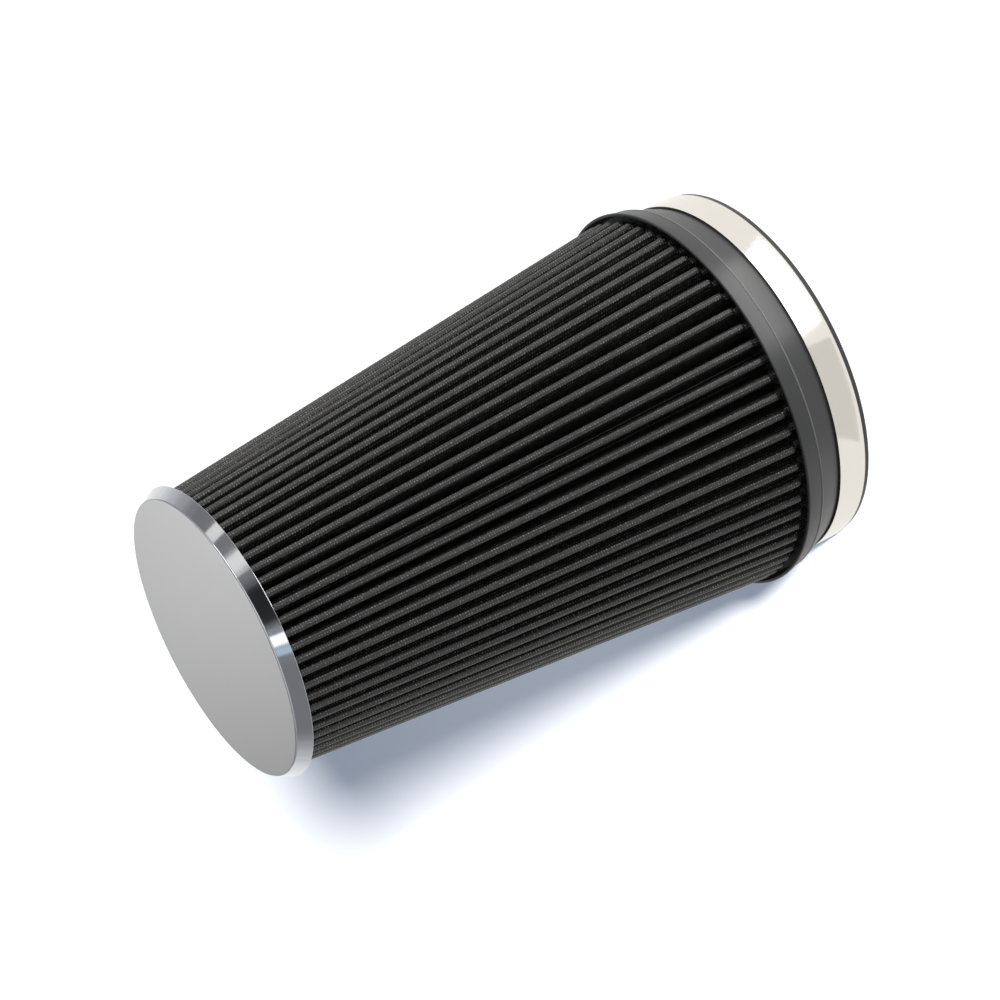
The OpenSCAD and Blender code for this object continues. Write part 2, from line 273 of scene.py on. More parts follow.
def pressed(point, full_r, depth):
    """A point of a pleat after its tip is pressed in by depth: it moves the more,
    the nearer it lies to the tip."""
    r = math.hypot(*point)
    share = max((r - (full_r - PINCH_SPREAD)) / PINCH_SPREAD, 0.0)
    scale = (r - depth * share) / r
    return (point[0] * scale, point[1] * scale)


def sheet_row(sizes, z, inset):
    """One row of a pleated sheet: its outline at a height, with the tips pressed in."""
    plain_r, depth = tip_radius(sizes, z), pinch(sizes, z)
    loop = pleat_loop(sizes, plain_r, inset)
    if depth:
        loop = [pressed(point, plain_r - inset, depth) for point in loop]
    return [(x, y, z) for x, y in loop]


def row_heights(sizes):
    """Heights of the rows, close together where the tips bend in."""
    low, high = PLEAT_LOW[2], PLEAT_HIGH[2]
    bend = [sizes.collar_h + PINCH_REACH * (i / BEND_ROWS) ** BEND_CROWDING
            for i in range(BEND_ROWS + 1)]
    return [low, (low + bend[0]) / 2] + bend + spaced(bend[-1], high, PLAIN_ROWS)[1:]


def cloth_lengths(row):
    """Distance along the cloth to each point of a row and back to the first, in mm."""
    lengths = [0.0]
    for a, b in zip(row, row[1:] + row[:1]):
        lengths.append(lengths[-1] + math.dist(a, b) / MM)
    return lengths


def pleated_sheet(name, sizes, inset_out, inset_in):
    """A pleated sheet, up its outer face and down its inner one, with UVs along the
    cloth."""
    heights = row_heights(sizes)
    rows = [sheet_row(sizes, z, inset_out) for z in heights]
    rows += [sheet_row(sizes, z, inset_in) for z in reversed(heights)]
    along = cloth_lengths(rows[0])
    uvs = []
    for here, there in zip(rows, rows[1:] + rows[:1]):
        low, high = here[0][2] / MM, there[0][2] / MM
        for start, end in zip(along, along[1:]):
            uvs += [(start, low), (end, low), (end, high), (start, high)]
    return closed_skin(name, rows, PLEAT_CREASE_DEG, uvs)


# Materials

MATH = "ShaderNodeMath"
VECTOR = "ShaderNodeVectorMath"
NOISE = "ShaderNodeTexNoise"
RANGE = "ShaderNodeMapRange"
BUMP = "ShaderNodeBump"


def set_inputs(tree, node, inputs):
    """Sets a node's inputs: each to a value, or linked to another node's output. A
    node stands for its first output."""
    for key, value in inputs.items():
        if isinstance(value, bpy.types.Node):
            value = value.outputs[0]
        if isinstance(value, bpy.types.NodeSocket):
            tree.links.new(value, node.inputs[key])
        else:
            node.inputs[key].default_value = value


def add_node(tree, kind, inputs=None, **settings):
    """Adds a node with its settings, values and links."""
    node = tree.nodes.new(kind)
    for key, value in settings.items():
        setattr(node, key, value)
    set_inputs(tree, node, inputs or {})
    return node


def start_material(name, values):
    """A principled material with set values, and its tree and shader."""
    material = bpy.data.materials.new(name)
    material.use_nodes = True
    tree = material.node_tree
    shader = tree.nodes["Principled BSDF"]
    set_inputs(tree, shader, values)
    return material, tree, shader


def object_place(tree):
    """The place on the surface in metres, as a socket."""
    return add_node(tree, "ShaderNodeTexCoord").outputs["Object"]


def plain_weave(tree, wire_pitch_mm):
    """Height of a plain weave from 0 in the gaps to near 1 on the crowns, and a
    chance for each crossing. The UVs are in millimetres of cloth."""
    crown_mean, crown_swing = 0.62, 0.32
    cloth = add_node(tree, "ShaderNodeUVMap", uv_map="cloth_mm")
    place = add_node(tree, VECTOR, {0: cloth, 1: [wire_pitch_mm] * 3}, operation="DIVIDE")
    cell = add_node(tree, VECTOR, {0: place}, operation="FLOOR")
    x, y, _ = add_node(tree, "ShaderNodeSeparateXYZ", {0: place}).outputs
    cell_x, cell_y, _ = add_node(tree, "ShaderNodeSeparateXYZ", {0: cell}).outputs

    def wires(across, along, wire, phase):
        """Height of one set of wires: round across, and over and under along."""
        half_turns = add_node(tree, MATH, {0: across, 1: math.pi}, operation="MULTIPLY")
        wave = add_node(tree, MATH, {0: half_turns}, operation="SINE")
        profile = add_node(tree, MATH, {0: wave}, operation="ABSOLUTE")
        step = add_node(tree, MATH, {0: along, 1: wire}, operation="ADD")
        shifted = add_node(tree, MATH, {0: step, 1: phase}, operation="ADD")
        angle = add_node(tree, MATH, {0: shifted, 1: math.pi}, operation="MULTIPLY")
        rise = add_node(tree, MATH, {0: angle}, operation="COSINE")
        crown = add_node(tree, MATH, {0: rise, 1: crown_swing, 2: crown_mean},
                         operation="MULTIPLY_ADD")
        return add_node(tree, MATH, {0: profile, 1: crown}, operation="MULTIPLY")

    # Half a wave apart, so that one set is on top where the other is under.
    warp, weft = wires(x, y, cell_x, 0.5), wires(y, x, cell_y, 1.5)
    height = add_node(tree, MATH, {0: warp, 1: weft}, operation="MAXIMUM")
    chance = add_node(tree, "ShaderNodeTexWhiteNoise", {"Vector": cell}, noise_dimensions="2D")
    return height, chance.outputs["Value"]


def coated_wire_cloth(sizes, colours):
    """Epoxy-coated woven steel wire: black, with painted highlights, a light colour on the rounded
    crowns for glints, over black gaps. At 1 mm the wires lie a little closer together than the
    photographed ones."""
    # Painted glints: where a crown's painted highlight starts, where it is brightest, how dull the
    # dullest one is, and how rare the bright ones are.
    glint_start, glint_full = 0.76, 0.96
    dullest_crown, rarity = 0.12, 1.6
    wire_relief = 0.16 * MM
    material, tree, shader = start_material(
        "epoxy_coated_woven_wire", {"Metallic": 0.0, "Roughness": 0.42, "IOR": 1.52})
    height, chance = plain_weave(tree, sizes.wire_pitch / MM)
    painted_glint_mask = add_node(tree, RANGE, {"Value": height, "From Min": glint_start, "From Max": glint_full})
    rare = add_node(tree, MATH, {0: chance, 1: rarity}, operation="POWER")
    glint_strength = add_node(tree, RANGE, {"Value": rare, "To Min": dullest_crown, "To Max": 1.0})
    painted_glint = add_node(tree, MATH, {0: painted_glint_mask, 1: glint_strength}, operation="MULTIPLY")
    # The mix paints the glints: the light wire colour on the crowns, the gap colour elsewhere.
    mix = add_node(tree, "ShaderNodeMix",
                   {"Factor": painted_glint, "A": colours.mesh_gap[:], "B": colours.wire[:]},
                   data_type="RGBA")
    relief = add_node(tree, BUMP, {"Height": height, "Distance": wire_relief, "Strength": 0.9})
    set_inputs(tree, shader, {"Base Color": mix.outputs["Result"], "Normal": relief})
    return material


def synthetic_felt(colours):
    """Needled synthetic felt: gives a deep black without gloss, with short fibres."""
    fibre_spacing, fibre_relief, gap_shade = MM / 2.6, 0.1 * MM, 0.4
    dark = tuple(value * gap_shade for value in colours.medium[:3]) + (1.0,)
    material, tree, shader = start_material("black_needled_felt", {"Roughness": 0.95, "IOR": 1.48})
    fibres = add_node(tree, NOISE, {"Vector": object_place(tree), "Scale": 1 / fibre_spacing,
                                    "Detail": 4.0})
    mix = add_node(tree, "ShaderNodeMix", {"Factor": fibres, "A": dark, "B": colours.medium[:]},
                   data_type="RGBA")
    relief = add_node(tree, BUMP, {"Height": fibres, "Distance": fibre_relief, "Strength": 1.0})
    set_inputs(tree, shader, {"Base Color": mix.outputs["Result"], "Normal": relief})
    return material


def moulded_urethane(name, base, roughness):
    """Moulded polyurethane: gives an even satin grey with a fine mould grain and
    slightly cloudy gloss."""
    cloud_size, grain_size, grain_relief = 22 * MM, 0.35 * MM, 0.02 * MM
    material, tree, shader = start_material(name, {"Roughness": roughness, "IOR": 1.5})
    place = object_place(tree)
    cloud = add_node(tree, NOISE, {"Vector": place, "Scale": 1 / cloud_size, "Detail": 3.0})
    grain = add_node(tree, NOISE, {"Vector": place, "Scale": 1 / grain_size, "Detail": 2.0})
    shade = add_node(tree, RANGE, {"Value": cloud, "To Min": 0.93, "To Max": 1.05})
    tint = add_node(tree, "ShaderNodeMix", {"Factor": 1.0, "A": base[:], "B": shade},
                    data_type="RGBA", blend_type="MULTIPLY")
    gloss = add_node(tree, RANGE, {"Value": cloud, "To Min": roughness - 0.06,
                                   "To Max": roughness + 0.08})
    relief = add_node(tree, BUMP, {"Height": grain, "Distance": grain_relief, "Strength": 0.6})
    set_inputs(tree, shader, {"Base Color": tint.outputs["Result"], "Roughness": gloss,
                              "Normal": relief})
    return material


def satin_metal(name, base, roughness, grain_mm, relief_mm):
    """Blasted, pressed or plated metal: gives a soft broad sheen with a very fine
    grain."""
    material, tree, shader = start_material(
        name, {"Metallic": 1.0, "Roughness": roughness, "Base Color": base[:]})
    grain = add_node(tree, NOISE, {"Vector": object_place(tree), "Scale": 1 / (grain_mm * MM),
                                   "Detail": 3.0})
    relief = add_node(tree, BUMP, {"Height": grain, "Distance": relief_mm * MM, "Strength": 0.5})
    set_inputs(tree, shader, {"Normal": relief})
    return material


def turned_streaks(tree, per_turn, per_metre):
    """Noise drawn out round the axis of the filter, as polishing leaves it."""
    place = object_place(tree)
    level = add_node(tree, VECTOR, {0: place, 1: (1.0, 1.0, 0.0)}, operation="MULTIPLY")
    way = add_node(tree, VECTOR, {0: level}, operation="NORMALIZE")
    height = add_node(tree, VECTOR, {0: place, 1: (0.0, 0.0, per_metre)}, operation="MULTIPLY")
    drawn_out = add_node(tree, VECTOR, {0: way, 1: [per_turn] * 3, 2: height},
                         operation="MULTIPLY_ADD")
    return add_node(tree, NOISE, {"Vector": drawn_out, "Scale": 1.0, "Detail": 2.0})


def polished_metal(name, base, roughness, waves_per_turn, wave_relief_mm):
    """Polished sheet metal: gives sharp reflections that bend where the sheet
    waves, broken by fine polishing lines round the axis."""
    lines_per_turn, line_spacing, line_relief = 6.0, 0.25 * MM, 0.004 * MM
    waves_per_metre = 0.5
    material, tree, shader = start_material(
        name, {"Metallic": 1.0, "Roughness": roughness, "Base Color": base[:]})
    wave = turned_streaks(tree, waves_per_turn, waves_per_metre)
    lines = turned_streaks(tree, lines_per_turn, 1 / line_spacing)
    gloss = add_node(tree, RANGE, {"Value": lines, "To Min": roughness * 0.7,
                                   "To Max": roughness * 1.5})
    waved = add_node(tree, BUMP, {"Height": wave, "Distance": wave_relief_mm * MM,
                                  "Strength": 1.0})
    lined = add_node(tree, BUMP, {"Height": lines, "Distance": line_relief, "Strength": 0.5,
                                  "Normal": waved})
    set_inputs(tree, shader, {"Roughness": gloss, "Normal": lined})
    return material


# The pieces, each with its operator


class FilterPiece:
    """What the operators share."""

    bl_options = {"REGISTER", "UNDO"}

    @staticmethod
    def settings(context):
        """The sizes and the colours that the user has set."""
        return context.scene.filter_sizes, context.scene.filter_colours


class AIRFILTER_OT_pleated_element(FilterPiece, bpy.types.Operator):
    """Build the two woven screens and the medium between them"""

    bl_idname = "airfilter.pleated_element"
    bl_label = "Pleated element"

    def execute(self, context):
        sizes, colours = self.settings(context)
        wire = coated_wire_cloth(sizes, colours)
        felt = synthetic_felt(colours)
        outer, inner = sizes.screen_t, sizes.screen_t + sizes.media_t
        sheets = (
            ("woven_screen", 0.0, outer, wire, "outer_screen", "screen_metal"),
            ("pleated_felt", outer, inner, felt, "filter_media", "media_fabric"),
            ("woven_screen_inside", inner, inner + outer, wire, "inner_screen", "screen_metal"),
        )
        for name, inset_out, inset_in, material, node, slot in sheets:
            sheet = pleated_sheet(name, sizes, inset_out, inset_in)
            dress(sheet, [material], "filter", node)
        # Bare aluminium strip: gives an even soft sheen inside the element.
        strip, _, _ = start_material("bare_aluminium_strip", {
            "Metallic": 1.0, "Roughness": 0.38, "Base Color": linear("#c9cbcd")})
        finish_node("seam_clip", strip)
        return {"FINISHED"}


# The band's strip and the flange's walls and steps, as the solids have them.
STRIP_T = 0.65 * MM
RIM_OUT = 0.3 * MM
RIM_H = 1.8 * MM
MOUTH_CHAMFER = 0.8 * MM
COLLAR_WALL = 1.1 * MM
CHANNEL_DRAFT = 1.2 * MM
LIP_GAP = 0.5 * MM
LIP_WALL = 2.6 * MM
PIPE_STOP_W = 2.5 * MM
BORE_DEPTH = 21 * MM

# The roundings of the flange's edges, and the steps of its funnel's curve.
RIM_ROUND = 0.3 * MM
COLLAR_ROUND = 0.5 * MM
CHANNEL_ROUND = 0.2 * MM
FUNNEL_STEPS = 14

# The groove over the band: how far in it goes, where it starts below the neck's
# height and ends above it, how steep its lower side is, and where the taper
# starts, out and up from its upper end.
GROOVE_D = 0.5 * MM
GROOVE_BELOW = 0.1 * MM
GROOVE_ABOVE = 0.45 * MM
GROOVE_SIDE_H = 0.05 * MM
TAPER_START = (0.05 * MM, 0.25 * MM)

# The trimmed flash: its radius, how deep its centre lies, and where the taper
# meets it below and above, as distances out and up from the parting line.
FLASH_R = 0.32 * MM
FLASH_SINK = 0.08 * MM
FLASH_FOOT = (-0.12 * MM, -0.4 * MM)
FLASH_HEAD = (0.06 * MM, 0.35 * MM)


def flange_profile(sizes):
    """Outline of the flange from the mouth up its outside and down its inside, and the finish of each
    side: 1 on the flash, whose lighter grey is a painted highlight, and 0 elsewhere."""
    collar_r, lip_top = FLANGE_HIGH[0], FLANGE_HIGH[2]
    neck_r = BAND_HIGH[0] - STRIP_T
    rim_r = neck_r + RIM_OUT
    channel_r = collar_r - COLLAR_WALL
    lip_outer_r = tip_radius(sizes, lip_top) - sizes.pleat_depth - LIP_GAP
    groove_low, groove_high = sizes.neck_h - GROOVE_BELOW, sizes.neck_h + GROOVE_ABOVE

    rim = [(MOUTH_R + MOUTH_CHAMFER, 0.0)]
    rim += arc_points((rim_r - RIM_ROUND, RIM_ROUND), RIM_ROUND, -90, 0, 4)
    rim += arc_points((rim_r - RIM_ROUND, RIM_H - RIM_ROUND), RIM_ROUND, 0, 90, 4)
    groove = [(neck_r, groove_low - GROOVE_SIDE_H), (neck_r - GROOVE_D, groove_low),
              (neck_r - GROOVE_D, groove_high),
              (neck_r + TAPER_START[0], groove_high + TAPER_START[1])]
    foot = [(sizes.ridge_r + FLASH_FOOT[0], sizes.ridge_h + FLASH_FOOT[1])]
    flash = arc_points((sizes.ridge_r - FLASH_SINK, sizes.ridge_h), FLASH_R, -60, 60, 5)
    head = [(sizes.ridge_r + FLASH_HEAD[0], sizes.ridge_h + FLASH_HEAD[1])]
    collar = arc_points((collar_r - COLLAR_ROUND, sizes.collar_h - COLLAR_ROUND),
                        COLLAR_ROUND, -10, 90, 7)
    collar += arc_points((channel_r + CHANNEL_ROUND, sizes.collar_h - CHANNEL_ROUND),
                         CHANNEL_ROUND, 90, 180, 3)
    channel = [(channel_r - CHANNEL_DRAFT, PLEAT_LOW[2]), (lip_outer_r, PLEAT_LOW[2]),
               (lip_outer_r, lip_top)]

    throat_r, rise = MOUTH_R - PIPE_STOP_W, lip_top - BORE_DEPTH
    funnel_w = throat_r - (lip_outer_r - LIP_WALL)
    funnel = [(throat_r - funnel_w * math.cos(t), lip_top - rise * math.sin(t))
              for t in spaced(0.0, math.pi / 2, FUNNEL_STEPS)]
    bore = [(MOUTH_R, BORE_DEPTH), (MOUTH_R, MOUTH_CHAMFER)]

    below, above = rim + groove + foot, head + collar + channel + funnel + bore
    slots = [0] * len(below) + [1] * (len(flash) - 1) + [0] * (len(above) + 1)
    return below + flash + above, slots


class AIRFILTER_OT_flange(FilterPiece, bpy.types.Operator):
    """Build the moulded flange with its parting line and soft edges"""

    bl_idname = "airfilter.flange"
    bl_label = "Moulded flange"

    def execute(self, context):
        sizes, colours = self.settings(context)
        grey = moulded_urethane("moulded_grey_polyurethane", colours.urethane, roughness=0.42)
        # The flash's lighter grey is a painted highlight along the parting line's ridge.
        flash_highlight = moulded_urethane("polyurethane_flash_painted_highlight", colours.parting_line_highlight,
                                   roughness=0.5)
        flange = revolve("moulded_flange", *flange_profile(sizes))
        dress(flange, [grey, flash_highlight], "filter", "base_flange")
        potting = moulded_urethane("cast_black_polyurethane", colours.potting, roughness=0.5)
        finish_node("cap_potting", potting)
        return {"FINISHED"}


# The cap's sheet, the radius of its face and the rounding of its edge. In from
# that radius are the end of the flat face and a ring that keeps its shading flat.
# AXIS_R leaves a hole in the middle of the sheet that is too fine to see.
CAP_SHEET = 0.8 * MM
CAP_FACE_R = 51.5 * MM
CAP_ROUND = 0.5 * MM
CAP_FLAT_END = 0.6 * MM
CAP_FLAT_RING = 3.0 * MM
AXIS_R = 0.0001 * MM

# The fine groove under the edge: how far in it goes, and where it starts and ends
# below the face.
CAP_GROOVE_D = 0.7 * MM
CAP_GROOVE_START = 0.3 * MM
CAP_GROOVE_END = 0.7 * MM

# The skirt's points, as distances in and down: its root from the face's radius
# and the groove, and the break of its lower edge from its widest place.
SKIRT_ROOT_IN, SKIRT_ROOT_DOWN = 0.32 * MM, 0.05 * MM
SKIRT_EDGE_IN, SKIRT_END_IN, SKIRT_EDGE_H = 0.02 * MM, 0.08 * MM, 0.12 * MM


def cap_profile(sizes):
    """Outline of the cap's sheet from its inside round the skirt to its face, and
    the finish of each side: 1 on the polished skirt and 0 on the satin face."""
    skirt_r, top = CAP_HIGH[0], CAP_HIGH[2]
    low, sheet_low = top - sizes.skirt_h, top - CAP_SHEET
    groove_r = CAP_FACE_R - CAP_GROOVE_D
    groove_start, groove_end = top - CAP_GROOVE_START, top - CAP_GROOVE_END
    inside = [(AXIS_R, sheet_low), (sizes.tip_r_top, sheet_low), (skirt_r - CAP_SHEET, low)]
    skirt = [(skirt_r - SKIRT_END_IN, low), (skirt_r - SKIRT_EDGE_IN, low + SKIRT_EDGE_H),
             (CAP_FACE_R - SKIRT_ROOT_IN, groove_end - SKIRT_ROOT_DOWN)]
    groove = [(groove_r, groove_end), (groove_r, groove_start)]
    edge = arc_points((CAP_FACE_R - CAP_ROUND, top - CAP_ROUND), CAP_ROUND, 34, 84, 4)
    face = [(CAP_FACE_R - CAP_FLAT_END, top), (CAP_FACE_R - CAP_FLAT_RING, top), (AXIS_R, top)]
    polished, satin = inside + skirt + groove, edge + face
    return polished + satin, [1] * len(polished) + [0] * len(satin)


class AIRFILTER_OT_end_cap(FilterPiece, bpy.types.Operator):
    """Build the drawn cap with its satin face, fine groove and polished skirt"""

    bl_idname = "airfilter.end_cap"
    bl_label = "End cap"

    def execute(self, context):
        sizes, colours = self.settings(context)
        satin = satin_metal("blasted_aluminium_face", colours.cap_face,
                            roughness=0.46, grain_mm=0.5, relief_mm=0.012)
        polish = polished_metal("polished_aluminium_skirt", colours.skirt,
                                roughness=0.1, waves_per_turn=5.0, wave_relief_mm=0.25)
        cap = revolve("drawn_cap", *cap_profile(sizes))
        dress(cap, [satin, polish], "filter", "end_cap")
        return {"FINISHED"}


# The worm's thread: the radii of the core that it grows from and of its crest,
# half its width at both, the plain ends inside the housing, the steps of a turn,
# and the share of its length over which each end runs out.
THREAD_CORE_R = 3.36 * MM
THREAD_CREST_R = 3.7 * MM
THREAD_ROOT_HALF = 0.75 * MM
THREAD_CREST_HALF = 0.32 * MM
THREAD_MARGIN = 1.4 * MM
THREAD_TURN_STEPS = 40
THREAD_RUN_OUT = 1 / 8


def worm_thread(name, sizes):
    """A helical ridge round the worm's core between the housing's plates."""
    centre_y = (WORM_LOW[1] + WORM_HIGH[1]) / 2
    centre_z = (WORM_LOW[2] + WORM_HIGH[2]) / 2
    start_x, end_x = HOUSING_LOW[0] + THREAD_MARGIN, HOUSING_HIGH[0] - THREAD_MARGIN
    turns = (end_x - start_x) / sizes.thread_pitch
    steps = int(turns * THREAD_TURN_STEPS)
    section = ((-THREAD_ROOT_HALF, 0.0), (-THREAD_CREST_HALF, 1.0),
               (THREAD_CREST_HALF, 1.0), (THREAD_ROOT_HALF, 0.0))
    count = len(section)
    verts, faces = [], []
    for share in spaced(0.0, 1.0, steps):
        angle = 2 * math.pi * turns * share
        x = start_x + (end_x - start_x) * share
        ridge = (THREAD_CREST_R - THREAD_CORE_R) * min(
            1.0, share / THREAD_RUN_OUT, (1.0 - share) / THREAD_RUN_OUT)
        for offset, rise in section:
            r = THREAD_CORE_R + ridge * rise
            verts.append((x + offset, centre_y + r * math.cos(angle), centre_z - r * math.sin(angle)))
    for i in range(steps):
        faces += joined(count * i, count * (i + 1), count)
    faces += [tuple(reversed(range(count))), tuple(count * steps + k for k in range(count))]
    return new_object(name, verts, faces, crease_deg=30.0)


class AIRFILTER_OT_clamp(FilterPiece, bpy.types.Operator):
    """Finish the band, saddle and housing, and cut the worm's thread"""

    bl_idname = "airfilter.clamp"
    bl_label = "Worm drive clamp"

    def execute(self, context):
        sizes, colours = self.settings(context)
        strip = polished_metal("polished_stainless_strip", colours.stainless,
                               roughness=0.16, waves_per_turn=3.0, wave_relief_mm=0.9)
        sheet = satin_metal("pressed_stainless_sheet", colours.stainless,
                            roughness=0.27, grain_mm=0.4, relief_mm=0.01)
        plated = satin_metal("zinc_plated_steel", colours.screw,
                             roughness=0.3, grain_mm=0.4, relief_mm=0.008)
        finish_node("clamp_band", strip)
        finish_node("clamp_saddle", sheet)
        finish_node("clamp_housing", sheet)
        finish_node("clamp_screw", plated)
        thread = worm_thread("worm_thread", sizes)
        thread.data.materials.append(plated)
        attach(thread, "worm")
        return {"FINISHED"}


# The stage

# Camera: the photograph's viewing direction, found by fitting the filter's
# circles, as the camera's place and its right and up directions.
CAMERA_PLACE = (-0.0016, -1.0794, 0.5786)
CAMERA_RIGHT = (-0.452218, -0.354398, -0.818475)
CAMERA_UP = (0.891907, -0.179295, -0.415156)
LENS_MM = 121.27
SENSOR_MM = 36.0
VIEW_END = 20.0

# Reflector cards cut as parts of a ring that lies round the mouth, just over the
# floor. Only metal and gloss show them. Each has a name, two azimuths in degrees
# from the camera's side towards +X, brightness and tint.
CARD_LOW_R, CARD_HIGH_R = 73 * MM, 160 * MM
CARD_H = 0.3 * MM
CARD_STEPS = 12
CARDS = (
    ("silver_card", 3, 38, 4.0, (1.0, 0.99, 0.97)),
    ("grey_card", -40, -3, 0.82, (1.0, 0.985, 0.96)),
)

# The lamp that draws the filter's shadow on the paper stands beside the camera:
# the way that it shines, its strength and how wide it looks.
SHADOW_WAY = (-0.112, 0.94, -0.334)
SHADOW_STRENGTH = 10.5
SHADOW_SPREAD_DEG = 5.0

# The room that metal and gloss mirror: the heights between which the white walls
# turn into a dimmer ceiling, and the ceiling's brightness.
CEILING_START, CEILING_FULL = 0.05, 0.4
CEILING_LIGHT = 0.26

# The dark camera in the cap skirt's reflection: its direction, the cosines of the
# angles at which its dark patch starts and is full, and the patch's brightness.
DARK_WAY = (0.08, -0.69, 0.72)
DARK_START, DARK_FULL = 0.962, 0.988
DARK_LIGHT = 0.1

# What lights the filter from all round.
FILL_TINT = (0.95, 0.97, 1.0, 1.0)
FILL_LIGHT = 0.12

# The paper: half of its width in metres, how it reflects light to the camera and
# to the filter, and its own light as the camera and as metal see it.
PAPER_HALF = 6.0
PAPER_TINT = (0.82, 0.82, 0.82, 1.0)
BOUNCE_TINT = (0.24, 0.24, 0.24, 1.0)
GLOW_TINT, GLOW_LIGHT = (0.44, 0.62, 1.0, 1.0), 0.2
SHINE_TINT, SHINE_LIGHT = (1.0, 0.985, 0.96, 1.0), 0.75

WHITE = (1.0, 1.0, 1.0, 1.0)

# Softboxes: name, place, width and height in metres, brightness and tint. They
# face the middle of the filter.
SOFTBOX_AIM = (0.0, 0.0, 0.12)
SOFTBOXES = (
    ("key_softbox", (1.02, -0.88, 0.42), 0.7, 0.7, 4.5, (1.0, 0.985, 0.96)),
    ("front_softbox", (-0.05, -1.25, 0.8), 0.4, 0.4, 2.6, (0.96, 0.98, 1.0)),
    ("fill_softbox", (-0.95, -0.6, 0.3), 0.5, 0.5, 0.1, (0.93, 0.96, 1.0)),
    ("cap_softbox", (0.11, 0.36, 0.54), 0.3, 0.14, 2.9, (1.0, 1.0, 1.0)),
    ("white_strip", (-0.317, -0.695, 0.927), 0.11, 0.2, 1.9, (0.93, 0.97, 1.0)),
    ("blue_strip", (-0.452, -0.637, 0.909), 0.12, 0.2, 0.65, (0.6, 0.78, 1.0)),
    ("cream_strip", (0.597, -0.538, 0.88), 0.2, 0.24, 0.9, (1.0, 0.97, 0.91)),
    ("cream_card", (0.857, -0.197, 0.77), 0.14, 0.2, 0.85, (1.0, 0.96, 0.88)),
)


def empty_tree(owner):
    """Gives a material or a world a node tree with nothing in it."""
    owner.use_nodes = True
    owner.node_tree.nodes.clear()
    return owner.node_tree


def place_camera(scene):
    """Sets the camera where the photograph was taken from."""
    data = bpy.data.cameras.new("camera")
    data.sensor_width = SENSOR_MM
    data.lens = LENS_MM
    data.clip_end = VIEW_END
    camera = bpy.data.objects.new("camera", data)
    right, up = Vector(CAMERA_RIGHT).normalized(), Vector(CAMERA_UP).normalized()
    axes = Matrix((right, up, right.cross(up))).transposed().to_4x4()
    camera.matrix_world = Matrix.Translation(CAMERA_PLACE) @ axes
    scene.collection.objects.link(camera)
    scene.camera = camera


def white_paper():
    """White paper: looks white to the camera and darker only in shadow, shines in
    polished metal, and throws little light on the filter."""
    material = bpy.data.materials.new("white_sweep")
    tree = empty_tree(material)
    path = add_node(tree, "ShaderNodeLightPath")
    paper = add_node(tree, "ShaderNodeBsdfDiffuse", {"Color": PAPER_TINT})
    bounce = add_node(tree, "ShaderNodeBsdfDiffuse", {"Color": BOUNCE_TINT})
    glow = add_node(tree, "ShaderNodeEmission", {"Color": GLOW_TINT, "Strength": GLOW_LIGHT})
    shine = add_node(tree, "ShaderNodeEmission", {"Color": SHINE_TINT, "Strength": SHINE_LIGHT})
    to_camera = add_node(tree, "ShaderNodeAddShader", {0: paper, 1: glow})
    to_metal = add_node(tree, "ShaderNodeAddShader", {0: bounce, 1: shine})
    to_filter = add_node(tree, "ShaderNodeMixShader",
                         {0: path.outputs["Is Glossy Ray"], 1: bounce, 2: to_metal})
    seen = add_node(tree, "ShaderNodeMixShader",
                    {0: path.outputs["Is Camera Ray"], 1: to_filter, 2: to_camera})
    add_node(tree, "ShaderNodeOutputMaterial", {"Surface": seen})
    return material


def lay_floor(scene):
    """Lays the paper under the filter."""
    half = PAPER_HALF
    verts = [(-half, -half, 0), (half, -half, 0), (half, half, 0), (-half, half, 0)]
    mesh = bpy.data.meshes.new("studio_floor")
    mesh.from_pydata(verts, [], [(0, 1, 2, 3)])
    mesh.materials.append(white_paper())
    floor = bpy.data.objects.new("studio_floor", mesh)
    scene.collection.objects.link(floor)
    return floor


def shadow_lamp(scene, floor):
    """A distant lamp that lights the paper alone and leaves the filter's soft
    shadow beside it."""
    data = bpy.data.lights.new("shadow_lamp", "SUN")
    data.energy = SHADOW_STRENGTH
    data.angle = math.radians(SHADOW_SPREAD_DEG)
    light = bpy.data.objects.new("shadow_lamp", data)
    light.rotation_euler = Vector(SHADOW_WAY).to_track_quat("-Z", "Y").to_euler()
    scene.collection.objects.link(light)
    paper_only = bpy.data.collections.new("lit_by_shadow_lamp")
    paper_only.objects.link(floor)
    light.light_linking.receiver_collection = paper_only


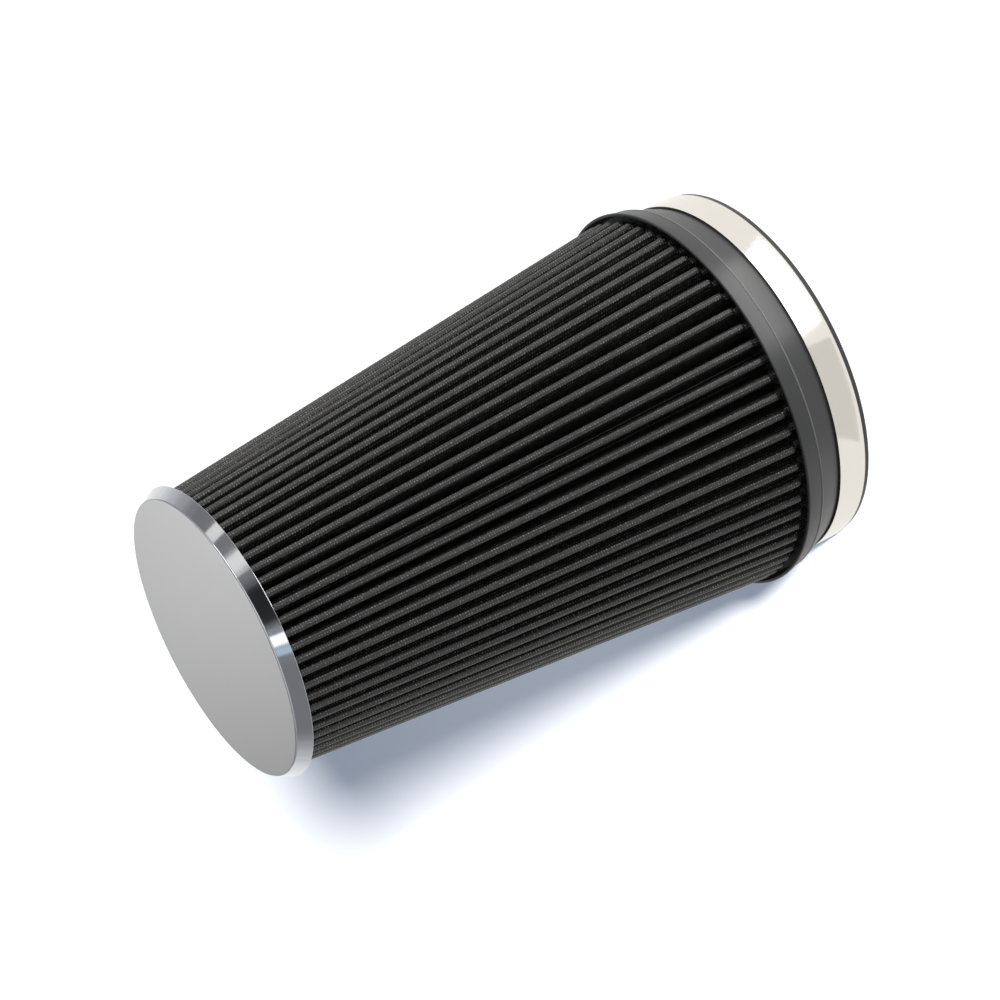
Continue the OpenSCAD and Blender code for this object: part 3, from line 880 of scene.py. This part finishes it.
def light_room(scene):
    """The world: white behind the filter, a studio room in metal and gloss, and a
    low even fill on everything else."""
    world = bpy.data.worlds.new("white_studio")
    scene.world = world
    tree = empty_tree(world)
    path = add_node(tree, "ShaderNodeLightPath")
    way = add_node(tree, "ShaderNodeTexCoord").outputs["Generated"]
    _, _, rise = add_node(tree, "ShaderNodeSeparateXYZ", {0: way}).outputs
    ceiling = add_node(tree, RANGE, {"Value": rise, "From Min": CEILING_START,
                                     "From Max": CEILING_FULL,
                                     "To Min": 1.0, "To Max": CEILING_LIGHT})
    toward = add_node(tree, VECTOR, {0: way, 1: DARK_WAY}, operation="DOT_PRODUCT")
    dark = add_node(tree, RANGE, {"Value": toward.outputs["Value"], "From Min": DARK_START,
                                  "From Max": DARK_FULL,
                                  "To Min": 1.0, "To Max": DARK_LIGHT})
    room = add_node(tree, MATH, {0: ceiling, 1: dark}, operation="MULTIPLY")
    mirrored = add_node(tree, MATH, {0: path.outputs["Is Glossy Ray"],
                                     1: path.outputs["Is Transmission Ray"]},
                        operation="MAXIMUM")
    fill = add_node(tree, "ShaderNodeBackground", {"Color": FILL_TINT, "Strength": FILL_LIGHT})
    studio = add_node(tree, "ShaderNodeBackground", {"Color": WHITE, "Strength": room})
    white = add_node(tree, "ShaderNodeBackground", {"Color": WHITE, "Strength": 1.0})
    lit = add_node(tree, "ShaderNodeMixShader", {0: mirrored, 1: fill, 2: studio})
    seen = add_node(tree, "ShaderNodeMixShader",
                    {0: path.outputs["Is Camera Ray"], 1: lit, 2: white})
    add_node(tree, "ShaderNodeOutputWorld", {"Surface": seen})


def softbox(scene, name, place, width, height, brightness, tint):
    """An area light that faces the filter, set by how bright its front looks."""
    data = bpy.data.lights.new(name, "AREA")
    data.shape = "RECTANGLE"
    data.size = width
    data.size_y = height
    data.energy = brightness * math.pi * width * height
    data.color = tint
    light = bpy.data.objects.new(name, data)
    light.location = place
    way = Vector(SOFTBOX_AIM) - Vector(place)
    light.rotation_euler = way.to_track_quat("-Z", "Y").to_euler()
    scene.collection.objects.link(light)


def reflector_card(scene, name, start_deg, end_deg, brightness, tint):
    """A glowing card that only metal and gloss show."""
    verts = []
    for degrees in spaced(start_deg, end_deg, CARD_STEPS):
        a = math.radians(degrees)
        verts += [(r * math.sin(a), -r * math.cos(a), CARD_H) for r in (CARD_LOW_R, CARD_HIGH_R)]
    faces = [(2 * i, 2 * i + 1, 2 * i + 3, 2 * i + 2) for i in range(CARD_STEPS)]
    mesh = bpy.data.meshes.new(name)
    mesh.from_pydata(verts, [], faces)
    material = bpy.data.materials.new(name)
    tree = empty_tree(material)
    glow = add_node(tree, "ShaderNodeEmission", {"Color": tint + (1.0,), "Strength": brightness})
    add_node(tree, "ShaderNodeOutputMaterial", {"Surface": glow})
    mesh.materials.append(material)
    card = bpy.data.objects.new(name, mesh)
    scene.collection.objects.link(card)
    for ray in ("camera", "diffuse", "transmission", "shadow"):
        setattr(card, "visible_" + ray, False)


class AIRFILTER_OT_stage(FilterPiece, bpy.types.Operator):
    """Set the floor, the lights, the world and the camera"""

    bl_idname = "airfilter.stage"
    bl_label = "Studio stage"

    def execute(self, context):
        scene = context.scene
        place_camera(scene)
        shadow_lamp(scene, lay_floor(scene))
        light_room(scene)
        for box in SOFTBOXES:
            softbox(scene, *box)
        for card in CARDS:
            reflector_card(scene, *card)
        scene.view_settings.view_transform = "Standard"
        return {"FINISHED"}


class AIRFILTER_PT_panel(bpy.types.Panel):
    """Lists the pieces and their sizes and colours"""

    bl_label = "Air Filter"
    bl_idname = "AIRFILTER_PT_panel"
    bl_space_type = "VIEW_3D"
    bl_region_type = "UI"
    bl_category = "Air Filter"

    def draw(self, context):
        layout = self.layout
        for group in (context.scene.filter_sizes, context.scene.filter_colours):
            box = layout.box()
            for key in group.__annotations__:
                box.prop(group, key)
        for operator in PIECES:
            layout.operator(operator.bl_idname)


PIECES = (
    AIRFILTER_OT_pleated_element,
    AIRFILTER_OT_flange,
    AIRFILTER_OT_end_cap,
    AIRFILTER_OT_clamp,
    AIRFILTER_OT_stage,
)
CLASSES = (FilterSizes, FilterColours, AIRFILTER_PT_panel) + PIECES


def register():
    for cls in CLASSES:
        bpy.utils.register_class(cls)
    bpy.types.Scene.filter_sizes = PointerProperty(type=FilterSizes)
    bpy.types.Scene.filter_colours = PointerProperty(type=FilterColours)


def unregister():
    del bpy.types.Scene.filter_colours
    del bpy.types.Scene.filter_sizes
    for cls in reversed(CLASSES):
        bpy.utils.unregister_class(cls)


def main():
    """Registers the add-on and builds every piece in order."""
    register()
    bpy.ops.airfilter.pleated_element()
    bpy.ops.airfilter.flange()
    bpy.ops.airfilter.end_cap()
    bpy.ops.airfilter.clamp()
    bpy.ops.airfilter.stage()


if __name__ == "__main__":
    main()
